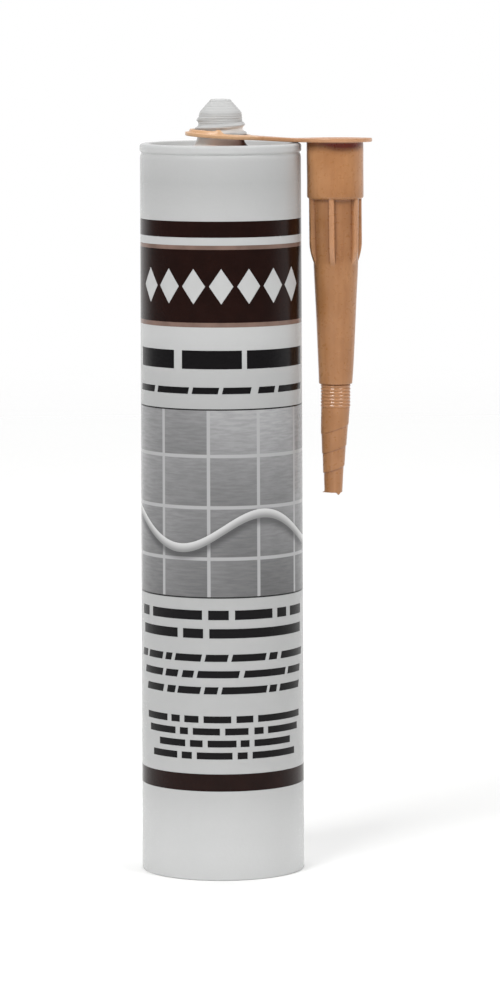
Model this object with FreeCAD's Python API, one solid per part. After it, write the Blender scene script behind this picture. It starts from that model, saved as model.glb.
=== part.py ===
import FreeCAD, Part
import math
import os

from FreeCAD import Vector as V

os.makedirs("parts", exist_ok=True)

# Sealant cartridge, millimetres, +Z up. Origin: centre of the barrel's rear rim, on the barrel's axis.
# The neck points up, and the nozzle hangs tip down on the +X side, its ring round the neck.

# ---- barrel ----
BASE_R = 24.90          # outside radius at the rear rim
DRAFT = 0.00215         # loss of outside radius for each millimetre of height
BORE_R = 23.10          # main bore
ENTRY_R = 23.60         # wider bore behind the retention bead
ENTRY_LEN = 10.20
BEAD_R = 22.70          # retention bead that keeps the piston in
BEAD_Z0, BEAD_Z1, BEAD_TOP = 11.20, 11.70, 12.20
HEAD_UNDER_Z = 218.80   # underside of the head
HEAD_TOP_Z = 220.40     # floor of the dish
RIM_Z = 222.20          # top of the raised rim
GROOVE_Z = 219.35       # V groove under the rim bead
GROOVE_R = 23.98
RIM_R = 24.52
LIP_R = 21.70           # inside of the rim lip

# ---- neck ----
NECK_TOP_Z = 235.50
NECK_BORE_R = 4.80
FLARE_R = 4.00          # fillet at the neck's foot
NECK_FOOT_R = 7.00
NECK_R_UP = 6.55        # thread root at the top of the threaded length
NECK_SHOULDER_Z = 230.40
THREAD_PITCH = 2.70     # single start, right hand
THREAD_START_DEG = -60.0
THREAD_END_DEG = 575.0
THREAD_Z_AT_0 = 225.20  # crest height on the +X side, first turn
THREAD_CREST_0 = 8.00   # crest radius there
THREAD_CREST_1 = 7.25   # crest radius one and a half turns on

# ---- piston ----
PISTON_Z = 12.60
PISTON_H = 20.00
PISTON_R = 22.95        # sealing lips
PISTON_WAIST_R = 22.45
PISTON_SKIRT_IN = 21.30
PISTON_FACE_T = 2.00
PISTON_RIBS = 8
PISTON_RIB_H = 3.00     # low ribs on the back of the face

# ---- nozzle ----
NX = 34.60              # nozzle's axis, out from the barrel's axis
STRAP_T = 1.20
PLATE_Z = 222.40        # underside of the plate over the nozzle's socket
PLATE_R = 11.40
RING_R = 10.90
RING_X = 0.20
RING_HOLE_R = 8.22
COLLAR_R = 9.60         # raised collar round the ring's hole
COLLAR_T = 2.10         # from the ring's underside, on the half away from the nozzle
COLLAR_T_LOW = 1.42     # on the other half
COLLAR_STEP_X = 0.90
STRAP_W = 9.00
STRAP_SLOPE = 0.0659    # rise for each millimetre towards the neck
BEND_X = 21.80
SOCKET_R = 8.60
SOCKET_Z = 205.20
SOCKET_BORE_R = 7.60
SOCKET_DEPTH = 14.20
CONE_TOP_R = 7.15       # under the socket
RIB_END_Z = 185.40
RIB_END_CORE_R = 6.78
CONE_END_Z = 148.90
CONE_END_R = 5.10
RIB_R = 8.40
RIB_T = 1.50
RIB_FIRST_DEG = -100.0
RIDGE_R = 4.57
RIDGE_ROOT_R = 4.32
RIDGE_PITCH = 1.02
RIDGES = 7
TIP_TOP_Z = 141.70
TIP_Z = 115.70
TIP_BORE_R = 1.90
STEP_TILT_DEG = 19.0
STEP_Z = (134.95, 128.75, 122.65)          # cut guide steps, on the nozzle's axis
STEP_RADII = ((4.37, 4.18), (4.00, 3.68), (3.52, 3.24), (3.00, 2.75))


def wire_of(points):
    """Closed wire through points; a point given as (mid, end) is an arc."""
    edges = []
    at = points[0]
    for p in points[1:] + [points[0]]:
        if isinstance(p[0], tuple):
            mid, end = p
            edges.append(Part.Arc(V(at[0], 0, at[1]), V(mid[0], 0, mid[1]), V(end[0], 0, end[1])).toShape())
            at = end
        else:
            if abs(p[0] - at[0]) + abs(p[1] - at[1]) > 1e-7:
                edges.append(Part.LineSegment(V(at[0], 0, at[1]), V(p[0], 0, p[1])).toShape())
            at = p
    return Part.Wire(edges)


def turned(points, x=0.0):
    """Solid of revolution about the vertical line through x; points are (radius, z)."""
    face = Part.Face(wire_of(points))
    solid = face.revolve(V(0, 0, 0), V(0, 0, 1), 360)
    if x:
        solid.translate(V(x, 0, 0))
    return solid


def one_solid(shape, name):
    shape = shape.removeSplitter()
    if shape.ShapeType != "Solid":
        if len(shape.Solids) != 1:
            raise RuntimeError("%s has %d solids" % (name, len(shape.Solids)))
        shape = shape.Solids[0]
    if not shape.isValid():
        raise RuntimeError(name + " is not valid")
    return shape


def outer_r(z):
    return BASE_R - DRAFT * z


# ---------------------------------------------------------------- barrel
def arc_mid(cx, cz, r, a0, a1):
    a = math.radians((a0 + a1) / 2)
    return (cx + r * math.cos(a), cz + r * math.sin(a))


def make_barrel():
    fcx, fcz = NECK_FOOT_R + FLARE_R, HEAD_TOP_Z + FLARE_R
    profile = [
        (ENTRY_R, 0.0),
        (BASE_R - 0.35, 0.0),
        (arc_mid(BASE_R - 0.35, 0.35, 0.35, -90, 0), (BASE_R, 0.35)),
        (outer_r(217.9), 217.9),
        ((outer_r(218.5) - 0.10, 218.75), (GROOVE_R, GROOVE_Z - 0.10)),
        (GROOVE_R, GROOVE_Z + 0.10),
        (RIM_R, 219.95),
        (RIM_R, RIM_Z - 0.95),
        (arc_mid(RIM_R - 0.95, RIM_Z - 0.95, 0.95, 0, 90), (RIM_R - 0.95, RIM_Z)),
        (LIP_R + 0.45, RIM_Z),
        (LIP_R, RIM_Z - 0.45),
        (LIP_R - 0.25, HEAD_TOP_Z + 0.35),
        (LIP_R - 0.65, HEAD_TOP_Z),
        (fcx, HEAD_TOP_Z),
        (arc_mid(fcx, fcz, FLARE_R, 270, 180), (NECK_FOOT_R, fcz)),
        (NECK_R_UP, NECK_SHOULDER_Z),
        (6.10, 231.9),
        (3.05, 235.30),
        (2.80, NECK_TOP_Z),
        (0.0, NECK_TOP_Z),
        (0.0, 233.9),
        (1.60, 233.9),
        (NECK_BORE_R, 230.2),
        (NECK_BORE_R, HEAD_UNDER_Z),
        (BORE_R - 1.6, HEAD_UNDER_Z),
        (arc_mid(BORE_R - 1.6, HEAD_UNDER_Z - 1.6, 1.6, 90, 0), (BORE_R, HEAD_UNDER_Z - 1.6)),
        (BORE_R, BEAD_TOP),
        (BEAD_R, BEAD_Z1),
        (BEAD_R, BEAD_Z0),
        (ENTRY_R, ENTRY_LEN),
    ]
    body = turned(profile)

    # thread ridge: sections along a rising, narrowing turn, faded in and out at its ends
    sections = []
    turn = 360.0
    deg = THREAD_START_DEG
    step = 15.0
    while deg <= THREAD_END_DEG + 1e-6:
        t = deg / 540.0
        crest = THREAD_CREST_0 + (THREAD_CREST_1 - THREAD_CREST_0) * t
        z = THREAD_Z_AT_0 + THREAD_PITCH * deg / turn
        fade = min(1.0, (deg - THREAD_START_DEG) / 45.0, (THREAD_END_DEG - deg) / 60.0)
        fade = 0.5 - 0.5 * math.cos(math.pi * max(0.0, fade))
        up = max(0.0, min(1.0, (z - fcz) / (NECK_SHOULDER_Z - fcz)))
        root = NECK_FOOT_R + (NECK_R_UP - NECK_FOOT_R) * up
        top = root - 0.25 + (crest - root + 0.25) * (0.12 + 0.88 * fade)
        inner = 5.9
        half_in = 1.05
        half_top = 0.26
        a = math.radians(deg)
        pts = []
        for r, dz in ((inner, -half_in), (top, -half_top), (top, half_top), (inner, half_in)):
            pts.append(V(r * math.cos(a), r * math.sin(a), z + dz))
        sections.append(Part.makePolygon(pts + [pts[0]]))
        deg += step
    thread = Part.makeLoft(sections, True, False)
    both = body.Volume + thread.Volume - body.common(thread).Volume
    barrel = one_solid(body.fuse(thread), "cartridge_barrel")
    if abs(barrel.Volume - both) > 1.0 or abs(barrel.BoundBox.ZMax - NECK_TOP_Z) > 0.01:
        raise RuntimeError("the thread did not join the neck")
    return barrel


# ---------------------------------------------------------------- piston
def make_piston():
    z0, z1 = PISTON_Z, PISTON_Z + PISTON_H
    profile = [
        (PISTON_SKIRT_IN, z0),
        (PISTON_R - 0.25, z0),
        (PISTON_R, z0 + 0.30),
        (PISTON_R, z0 + 1.60),
        (PISTON_WAIST_R, z0 + 2.60),
        (PISTON_WAIST_R, z1 - 4.20),
        (PISTON_R, z1 - 3.20),
        (PISTON_R, z1 - 0.70),
        (PISTON_R - 0.60, z1),
        (0.0, z1),
        (0.0, z1 - PISTON_FACE_T),
        (PISTON_SKIRT_IN - 1.0, z1 - PISTON_FACE_T),
        (arc_mid(PISTON_SKIRT_IN - 1.0, z1 - PISTON_FACE_T - 1.0, 1.0, 90, 0),
         (PISTON_SKIRT_IN, z1 - PISTON_FACE_T - 1.0)),
    ]
    body = turned(profile)
    rib_z0 = z1 - PISTON_FACE_T - PISTON_RIB_H
    top = z1 - PISTON_FACE_T + 0.2
    hub = Part.makeCylinder(6.4, top - rib_z0, V(0, 0, rib_z0)).cut(
        Part.makeCylinder(5.2, top - rib_z0 - 0.2, V(0, 0, rib_z0)))
    body = body.fuse(hub)
    for i in range(PISTON_RIBS):
        rib = Part.makeBox(PISTON_SKIRT_IN + 0.4 - 5.9, 1.2, top - rib_z0, V(5.9, -0.6, rib_z0))
        rib.rotate(V(0, 0, 0), V(0, 0, 1), 22.5 + 360.0 / PISTON_RIBS * i)
        body = body.fuse(rib)
    return one_solid(body, "piston")


# ---------------------------------------------------------------- sealant
def make_sealant():
    z0 = PISTON_Z + PISTON_H + 0.05
    return Part.makeCylinder(BORE_R - 0.06, 217.0 - z0, V(0, 0, z0)).fuse(
        Part.makeCone(BORE_R - 0.06, BORE_R - 1.72, HEAD_UNDER_Z - 0.06 - 217.0, V(0, 0, 217.0))
    ).removeSplitter()


# ---------------------------------------------------------------- nozzle
def strap_z(x):
    """Underside of the strap and plate."""
    return PLATE_Z + max(0.0, BEND_X - x) * STRAP_SLOPE


def make_nozzle():
    # turned body
    pitch0 = CONE_END_Z - (RIDGES - 1) * RIDGE_PITCH - 0.55
    ridges = []
    for i in range(RIDGES):
        c = CONE_END_Z - 0.55 - i * RIDGE_PITCH
        ridges += [(RIDGE_R, c + 0.22), (RIDGE_R, c - 0.22), (RIDGE_ROOT_R, c - 0.42)]
        if i < RIDGES - 1:
            ridges += [(RIDGE_ROOT_R, c - 0.60)]
    profile = [
        (0.0, PLATE_Z + 0.6),
        (SOCKET_R, PLATE_Z + 0.6),
        (SOCKET_R, SOCKET_Z + 0.9),
        (arc_mid(SOCKET_R - 0.9, SOCKET_Z + 0.9, 0.9, 0, -90), (SOCKET_R - 0.9, SOCKET_Z)),
        (CONE_TOP_R, SOCKET_Z),
        (RIB_END_CORE_R, RIB_END_Z),
        (CONE_END_R, CONE_END_Z + 0.10),
        (CONE_END_R - 0.10, CONE_END_Z),
        (RIDGE_ROOT_R, CONE_END_Z),
        (RIDGE_ROOT_R, CONE_END_Z - 0.13),
    ] + ridges + [
        (RIDGE_ROOT_R, TIP_TOP_Z),
        (2.0, TIP_TOP_Z),
        (0.0, TIP_TOP_Z),
    ]
    body = turned(profile, NX)

    # tip: nested cones, each cut off by a slanted guide step
    big = 30.0
    tops = (TIP_TOP_Z,) + STEP_Z
    bottoms = STEP_Z + (TIP_Z,)
    for i, (r0, r1) in enumerate(STEP_RADII):
        zt, zb = tops[i], bottoms[i]
        slope = (r0 - r1) / (zt - zb)
        extra = 0.0 if i == 3 else 2.4
        cone = Part.makeCone(r1 - slope * extra, r0 + slope * (TIP_TOP_Z - zt),
                             TIP_TOP_Z - zb + extra, V(NX, 0, zb - extra))
        if i < 3:
            cutter = Part.makeBox(big, big, big, V(-big / 2, -big / 2, -big))
            cutter.rotate(V(0, 0, 0), V(0, 1, 0), -STEP_TILT_DEG)
            cutter.translate(V(NX, 0, zb))
            cone = cone.cut(cutter)
        body = body.fuse(cone)

    # six ribs under the socket
    for i in range(6):
        rib_profile = [
            (5.6, RIB_END_Z),
            (RIB_END_CORE_R - 0.02, RIB_END_Z),
            ((RIB_R - 0.42, RIB_END_Z + 2.9), (RIB_R - 0.02, RIB_END_Z + 6.4)),
            (RIB_R, SOCKET_Z + 0.3),
            (5.6, SOCKET_Z + 0.3),
        ]
        rib = Part.Face(wire_of(rib_profile)).extrude(V(0, RIB_T, 0))
        rib.translate(V(0, -RIB_T / 2, 0))
        rib.rotate(V(0, 0, 0), V(0, 0, 1), RIB_FIRST_DEG + 60.0 * i)
        rib.translate(V(NX, 0, 0))
        body = body.fuse(rib)

    # plate, strap and ring: plan outline, and the bent side outline
    plan = Part.makeCylinder(RING_R, 12.0, V(RING_X, 0, 218.0))
    plan = plan.fuse(Part.makeBox(NX, STRAP_W, 12.0, V(0, -STRAP_W / 2, 218.0)))
    plan = plan.fuse(Part.makeCylinder(PLATE_R, 12.0, V(NX, 0, 218.0)))
    x0, x1 = -12.0, NX + 13.0
    low = [(x0, strap_z(x0)), (BEND_X - 1.6, strap_z(BEND_X - 1.6)),
           (BEND_X + 1.6, PLATE_Z + 0.012), (BEND_X + 2.4, PLATE_Z), (x1, PLATE_Z)]
    high = [(x, z + STRAP_T) for x, z in reversed(low)]
    side = Part.Face(wire_of(low + high)).extrude(V(0, 26.0, 0))
    side.translate(V(0, -13.0, 0))
    flat = plan.common(side)
    body = body.fuse(flat)
    cx0, cx1, cxs = -12.0, 12.0, COLLAR_STEP_X
    slab = Part.Face(wire_of([
        (cx0, strap_z(cx0) + 0.3), (cx1, strap_z(cx1) + 0.3),
        (cx1, strap_z(cx1) + COLLAR_T_LOW), (cxs + 0.35, strap_z(cxs + 0.35) + COLLAR_T_LOW),
        (cxs - 0.35, strap_z(cxs - 0.35) + COLLAR_T), (cx0, strap_z(cx0) + COLLAR_T)])).extrude(V(0, 26.0, 0))
    slab.translate(V(0, -13.0, 0))
    body = body.fuse(Part.makeCylinder(COLLAR_R, 12.0, V(0, 0, 218.0)).common(slab))

    # what is hollow: ring hole, socket, and the bore down to the tip
    body = body.cut(Part.makeCylinder(RING_HOLE_R, 14.0, V(0, 0, 217.0)))
    mouth = PLATE_Z + STRAP_T
    hollow = [
        (0.0, mouth + 1.0),
        (SOCKET_BORE_R, mouth + 1.0),
        (SOCKET_BORE_R, mouth - SOCKET_DEPTH),
        (5.40, mouth - SOCKET_DEPTH - 2.0),
        (3.85, CONE_END_Z + 2.0),
        (3.35, TIP_TOP_Z),
        (TIP_BORE_R, TIP_Z - 1.0),
        (0.0, TIP_Z - 1.0),
    ]
    body = body.cut(turned(hollow, NX))
    return one_solid(body, "nozzle")


made = {
    "cartridge_barrel": make_barrel(),
    "piston": make_piston(),
    "sealant": make_sealant(),
    "nozzle": make_nozzle(),
}
for name, shape in made.items():
    shape.exportStep("parts/" + name + ".step")
    box = shape.BoundBox
    print("%-18s valid %s solids %d volume %.1f mm3 box x %.2f..%.2f y %.2f..%.2f z %.2f..%.2f faces %d" % (
        name, shape.isValid(), len(shape.Solids), shape.Volume, box.XMin, box.XMax, box.YMin, box.YMax,
        box.ZMin, box.ZMax, len(shape.Faces)))
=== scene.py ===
import math

import bmesh
import bpy
import numpy as np
from mathutils import Matrix, Vector
from mathutils.geometry import delaunay_2d_cdt


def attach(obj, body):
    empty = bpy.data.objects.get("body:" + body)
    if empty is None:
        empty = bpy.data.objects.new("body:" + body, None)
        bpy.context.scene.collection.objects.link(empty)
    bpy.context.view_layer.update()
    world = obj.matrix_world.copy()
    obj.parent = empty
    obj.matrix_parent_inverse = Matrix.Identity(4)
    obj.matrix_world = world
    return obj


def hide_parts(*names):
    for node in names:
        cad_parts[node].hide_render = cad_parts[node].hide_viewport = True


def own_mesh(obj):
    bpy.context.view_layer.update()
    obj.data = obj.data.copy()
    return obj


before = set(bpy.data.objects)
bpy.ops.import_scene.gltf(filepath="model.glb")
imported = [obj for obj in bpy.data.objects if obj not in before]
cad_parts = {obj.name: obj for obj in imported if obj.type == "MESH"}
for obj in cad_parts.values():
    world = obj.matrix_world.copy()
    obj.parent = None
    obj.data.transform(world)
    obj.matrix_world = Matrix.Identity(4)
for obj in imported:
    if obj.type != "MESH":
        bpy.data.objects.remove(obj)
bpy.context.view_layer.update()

MM = 0.001
TAU = 2 * math.pi
rng = np.random.default_rng(11)

# sizes, in millimetres, in the object's frame
BASE_R, DRAFT = 24.90, 0.00215
BORE_R, ENTRY_R, BEAD_R = 23.10, 23.60, 22.70
HEAD_UNDER, HEAD_TOP, RIM_Z, RIM_R, LIP_R = 218.80, 220.40, 222.20, 24.52, 21.70
NECK_TOP = 235.50
NX = 34.60
PLATE_Z, STRAP_T, SLOPE, BEND_X = 222.40, 1.20, 0.0659, 21.80
PLATE_R, RING_R, RING_X, HOLE_R, STRAP_W = 11.40, 10.90, 0.20, 8.22, 9.00


# ------------------------------------------------------------------ camera, floor, light
def make_camera():
    """The photograph's viewing angle: low, far off, a few degrees down."""
    unit = 24.9 * MM
    place = Vector((-0.11996, -62.6388, 11.4057)) * unit
    pitch, roll, yaw, focal = 0.1090002, -0.0036922, 0.0074093, 5137.81
    fw = Vector((math.sin(yaw) * math.cos(pitch), math.cos(yaw) * math.cos(pitch), -math.sin(pitch)))
    r = fw.cross(Vector((0, 0, 1))).normalized()
    u = r.cross(fw)
    c, s = math.cos(roll), math.sin(roll)
    right, up = c * r + s * u, -s * r + c * u
    cam = bpy.data.cameras.new("camera")
    cam.sensor_width = 36.0
    cam.lens = focal * 36.0 / 1000.0
    cam.clip_start, cam.clip_end = 0.05, 200.0
    ob = bpy.data.objects.new("camera", cam)
    m = Matrix.Identity(4)
    for i in range(3):
        m[i][0], m[i][1], m[i][2], m[i][3] = right[i], up[i], -fw[i], place[i]
    ob.matrix_world = m
    bpy.context.scene.collection.objects.link(ob)
    bpy.context.scene.camera = ob


def area_light(name, place, target, size, watts, colour=(1, 1, 1)):
    lamp = bpy.data.lights.new(name, "AREA")
    lamp.shape = "RECTANGLE"
    lamp.size, lamp.size_y = size
    lamp.energy = watts
    lamp.color = colour
    ob = bpy.data.objects.new(name, lamp)
    ob.location = place
    ob.rotation_mode = "QUATERNION"
    ob.rotation_quaternion = (Vector(target) - Vector(place)).to_track_quat("-Z", "Y")
    bpy.context.scene.collection.objects.link(ob)
    return ob


def make_stage():
    me = bpy.data.meshes.new("floor")
    n, rad = 96, 12.0
    rings = [0.0, 0.5, 2.0, 5.0, rad]
    verts, faces = [(0, 0, 0)], []
    for r in rings[1:]:
        verts += [(r * math.cos(TAU * i / n), r * math.sin(TAU * i / n), 0.0) for i in range(n)]
    faces += [(0, 1 + i, 1 + (i + 1) % n) for i in range(n)]
    for k in range(len(rings) - 2):
        a, b = 1 + k * n, 1 + (k + 1) * n
        faces += [(a + i, b + i, b + (i + 1) % n, a + (i + 1) % n) for i in range(n)]
    me.from_pydata(verts, [], faces)
    floor = bpy.data.objects.new("floor", me)
    floor.location = (0, 0, -0.00005)
    bpy.context.scene.collection.objects.link(floor)
    mat = bpy.data.materials.new("floor_paper")
    g = Graph(mat)
    g.bsdf.inputs["Roughness"].default_value = 0.9
    g.bsdf.inputs["Specular IOR Level"].default_value = 0.1
    g.bsdf.inputs["Base Color"].default_value = (0.94, 0.94, 0.935, 1)
    # the paper runs out softly into the white of the room
    P, x, y, z = g.place()
    far = g.m("SQRT", g.m("ADD", g.m("MULTIPLY", x, x), g.m("MULTIPLY", y, y)))
    g.link(g.ramp(far, 700.0, 1900.0, 1.0, 0.0), g.bsdf.inputs["Alpha"])
    me.materials.append(mat)

    # the room: white behind and beside, darker low down in front, soft from above
    world = bpy.data.worlds.new("studio")
    bpy.context.scene.world = world
    w = Graph(world)
    bg = w.bsdf
    t = w.add("ShaderNodeTexCoord")
    sep = w.add("ShaderNodeSeparateXYZ")
    w.link(t.outputs["Generated"], sep.inputs[0])
    side = w.m("ADD", sep.outputs[1], w.m("MULTIPLY", sep.outputs[0], 0.35))
    low = w.ramp(side, 0.0, 0.52, 0.33, 1.0)
    up = w.ramp(sep.outputs[2], 0.06, 0.50)
    w.link(w.m("ADD", w.m("MULTIPLY", low, w.m("SUBTRACT", 1.0, up)), w.m("MULTIPLY", up, 0.40)), bg.inputs["Strength"])
    bg.inputs["Color"].default_value = (1, 1, 1, 1)
    bpy.context.scene.view_settings.view_transform = "Standard"
    bpy.context.scene.view_settings.look = "None"
    bpy.context.scene.view_settings.exposure = 0.0
    bpy.context.scene.view_settings.gamma = 1.0

    area_light("key_left", (-0.80, -1.16, 1.56), (0, 0, 0.13), (0.90, 0.58), 22.6)
    area_light("key_right", (1.12, -0.84, 1.58), (0, 0, 0.13), (0.85, 0.58), 12.4)
    area_light("back_top", (0.0, 1.25, 2.0), (0, 1.0, 0), (3.0, 1.8), 26)


# ------------------------------------------------------------------ node helpers
class Graph:
    def __init__(self, owner):
        """Empties the node tree of a material or a world and starts it anew."""
        owner.use_nodes = True
        self.nt = owner.node_tree
        self.nt.nodes.clear()
        room = isinstance(owner, bpy.types.World)
        self.out = self.add("ShaderNodeOutputWorld" if room else "ShaderNodeOutputMaterial")
        self.bsdf = self.add("ShaderNodeBackground" if room else "ShaderNodeBsdfPrincipled")
        self.link(self.bsdf.outputs[0], self.out.inputs[0])

    def add(self, kind, **props):
        n = self.nt.nodes.new(kind)
        for k, v in props.items():
            setattr(n, k, v)
        return n

    def link(self, a, b):
        self.nt.links.new(a, b)

    def put(self, socket, value):
        if isinstance(value, bpy.types.NodeSocket):
            self.link(value, socket)
        else:
            socket.default_value = value

    def m(self, op, a, b=None, c=None, clamp=False):
        n = self.add("ShaderNodeMath", operation=op, use_clamp=clamp)
        self.put(n.inputs[0], a)
        if b is not None:
            self.put(n.inputs[1], b)
        if c is not None:
            self.put(n.inputs[2], c)
        return n.outputs[0]

    def vec(self, x, y, z):
        n = self.add("ShaderNodeCombineXYZ")
        for i, v in enumerate((x, y, z)):
            self.put(n.inputs[i], v)
        return n.outputs[0]

    def within(self, v, lo, hi):
        """1 where v lies from lo to hi, else 0."""
        return self.m("COMPARE", v, (lo + hi) / 2, (hi - lo) / 2)

    def ramp(self, v, lo, hi, a=0.0, b=1.0, smooth=True):
        n = self.add("ShaderNodeMapRange", interpolation_type="SMOOTHSTEP" if smooth else "LINEAR")
        n.clamp = True
        self.put(n.inputs["Value"], v)
        n.inputs["From Min"].default_value = lo
        n.inputs["From Max"].default_value = hi
        n.inputs["To Min"].default_value = a
        n.inputs["To Max"].default_value = b
        return n.outputs["Result"]

    def noise(self, vector, scale, detail=2.0, rough=0.5, dims="3D"):
        n = self.add("ShaderNodeTexNoise", noise_dimensions=dims)
        self.link(vector, n.inputs["Vector"])
        n.inputs["Scale"].default_value = scale
        n.inputs["Detail"].default_value = detail
        n.inputs["Roughness"].default_value = rough
        return n.outputs["Fac"]

    def mix(self, fac, a, b):
        n = self.add("ShaderNodeMix", data_type="RGBA")
        self.put(n.inputs["Factor"], fac)
        for s, v in ((n.inputs[6], a), (n.inputs[7], b)):
            if isinstance(v, tuple) and len(v) == 3:
                v = (*v, 1.0)
            self.put(s, v)
        return n.outputs[2]

    def scaled(self, colour, by):
        n = self.add("ShaderNodeVectorMath", operation="SCALE")
        self.put(n.inputs[0], colour)
        self.put(n.inputs["Scale"], by)
        return n.outputs[0]

    def bump(self, height, distance, strength=1.0, after=None):
        n = self.add("ShaderNodeBump")
        n.inputs["Strength"].default_value = strength
        n.inputs["Distance"].default_value = distance
        self.link(height, n.inputs["Height"])
        if after is not None:
            self.link(after, n.inputs["Normal"])
        return n.outputs[0]

    def place(self):
        """Object coordinates in millimetres: the vector, and x, y, z apart."""
        t = self.add("ShaderNodeTexCoord")
        s = self.add("ShaderNodeVectorMath", operation="SCALE")
        self.link(t.outputs["Object"], s.inputs[0])
        s.inputs["Scale"].default_value = 1000.0
        sep = self.add("ShaderNodeSeparateXYZ")
        self.link(s.outputs[0], sep.inputs[0])
        return s.outputs[0], sep.outputs[0], sep.outputs[1], sep.outputs[2]


def srgb(r, g, b):
    def lin(c):
        c /= 255.0
        return c / 12.92 if c <= 0.04045 else ((c + 0.055) / 1.055) ** 2.4
    return (lin(r), lin(g), lin(b))


# ------------------------------------------------------------------ materials
def barrel_material():
    """Grey-white polyethylene with a plain print laid straight on it: bands, rows of bars and a tiled field."""
    mat = bpy.data.materials.new("barrel_printed_pe")
    g = Graph(mat)
    P, x, y, z = g.place()
    theta = g.m("ARCTAN2", x, g.m("MULTIPLY", y, -1.0))
    u = g.m("MULTIPLY", theta, 24.7)
    back = g.m("MULTIPLY", g.m("ARCTAN2", g.m("MULTIPLY", x, -1.0), y), 24.7)
    radius = g.m("SQRT", g.m("ADD", g.m("MULTIPLY", x, x), g.m("MULTIPLY", y, y)))
    outside = g.m("GREATER_THAN", radius, 23.9)
    uv = g.vec(u, z, 0.0)

    # bare plastic
    cloud = g.noise(P, 0.045, 3.0)
    fine = g.noise(P, 1.4, 3.0, 0.6)
    plain = g.mix(cloud, (0.545, 0.550, 0.550), (0.585, 0.588, 0.586))
    plain = g.mix(g.ramp(fine, 0.35, 0.75, 0.0, 0.10), plain, (0.48, 0.48, 0.48))
    # painted light and shade along its length: lighter at the open end and above the print, greyer beside the print and
    # at the shoulder
    tone = g.add("ShaderNodeValToRGB")
    stops = tone.color_ramp.elements
    for at, v in ((0.0, 1.04), (8.0, 1.04), (17.0, 0.985), (26.0, 0.88), (38.0, 0.81), (62.0, 0.79), (86.0, 0.76),
                  (143.0, 0.73), (153.0, 0.775), (165.0, 0.90), (192.0, 0.88), (203.5, 0.835), (211.0, 0.765), (217.5, 0.83),
                  (219.6, 0.915)):
        e = stops.new(at / 240.0) if at else stops[0]
        e.color = (v / 1.1, v / 1.1, v / 1.1, 1)
    last = stops[len(stops) - 1]
    last.color = (0.93 / 1.1, 0.93 / 1.1, 0.93 / 1.1, 1)
    g.link(g.m("DIVIDE", z, 240.0), tone.inputs[0])
    plain = g.scaled(plain, g.m("MULTIPLY", tone.outputs[0], 1.1))
    # the dish of the head and the neck; at the neck's foot, painted warm bounce light from the ring and painted shade,
    # darker towards the nozzle where the strap shades it
    neck = g.m("LESS_THAN", radius, 12.5)
    dish = g.m("MULTIPLY", g.m("LESS_THAN", radius, 22.4), g.m("GREATER_THAN", z, 219.5))
    plain = g.mix(dish, plain, (0.505, 0.507, 0.505))
    plain = g.mix(g.m("MULTIPLY", neck, g.m("GREATER_THAN", z, 219.5)), plain, (0.500, 0.501, 0.497))
    # painted shade and warm bounce light at the neck's foot, darkest under the strap
    foot_shade = g.m("MULTIPLY", neck, g.m("MULTIPLY", g.ramp(z, 220.0, 221.2), g.ramp(z, 223.2, 224.6, 1.0, 0.0)))
    foot_shade_ramp = g.add("ShaderNodeValToRGB")
    stops = foot_shade_ramp.color_ramp.elements
    for at, c in ((-8.0, (0.80, 0.79, 0.78)), (-5.3, (0.79, 0.77, 0.75)), (-2.0, (0.79, 0.656, 0.584)), (2.6, (0.58, 0.465, 0.42)),
                  (5.4, (0.41, 0.276, 0.234)), (6.7, (0.12, 0.06, 0.045))):
        e = stops.new((at + 8.0) / 16.0) if at > -8.0 else stops[0]
        e.color = (*c, 1)
    stops[len(stops) - 1].color = (0.06, 0.03, 0.02, 1)
    g.link(g.m("DIVIDE", g.m("ADD", x, 8.0), 16.0), foot_shade_ramp.inputs[0])
    plain = g.mix(foot_shade, plain, foot_shade_ramp.outputs[0])
    # painted light just under the first turn of the thread, and a painted brown shadow and reflection of the nozzle on
    # the rim beside it
    turn = g.m("MULTIPLY_ADD", theta, -0.42972, z)
    under = g.m("MULTIPLY", g.ramp(turn, 224.9, 225.6), g.ramp(turn, 226.80, 227.35, 1.0, 0.0))
    under = g.m("MULTIPLY", g.m("MULTIPLY", under, neck), g.ramp(g.m("ABSOLUTE", theta), 1.9, 2.6, 0.85, 0.0))
    plain = g.mix(under, plain, (0.93, 0.915, 0.89))
    # painted shadow and reflection of the nozzle's plate and socket on the rim, broken up by noise
    nozzle_shadow_reflection = g.m("MULTIPLY", g.ramp(x, 21.4, 23.9), g.ramp(z, 209.0, 220.5))
    nozzle_shadow_reflection = g.m("MULTIPLY", nozzle_shadow_reflection, g.ramp(y, -5.0, 5.0, 0.40, 0.0))
    nozzle_shadow_reflection = g.m("MULTIPLY", nozzle_shadow_reflection, g.ramp(fine, 0.30, 0.62, 0.72, 1.0))
    plain = g.mix(nozzle_shadow_reflection, plain, (0.070, 0.036, 0.030))
    colour = plain

    ink_tone = g.ramp(g.noise(P, 0.16, 3.0), 0.3, 0.7, 0.86, 1.16)

    def layer(base, mask, ink, tone=True):
        c = g.scaled((*ink,), ink_tone) if tone else ink
        return g.mix(mask, base, c)

    brown, taupe, black = (0.0115, 0.0030, 0.0018), (0.195, 0.128, 0.105), (0.0045, 0.0040, 0.0046)

    # taupe edged field, brown bands
    bands = g.m("ADD", g.within(z, 194.84, 199.70), g.within(z, 27.30, 32.60))
    bands = g.m("ADD", bands, g.within(z, 169.33, 191.24), clamp=True)
    lines = g.m("ADD", g.within(z, 191.24, 192.50), g.within(z, 167.95, 169.33), clamp=True)

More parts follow.
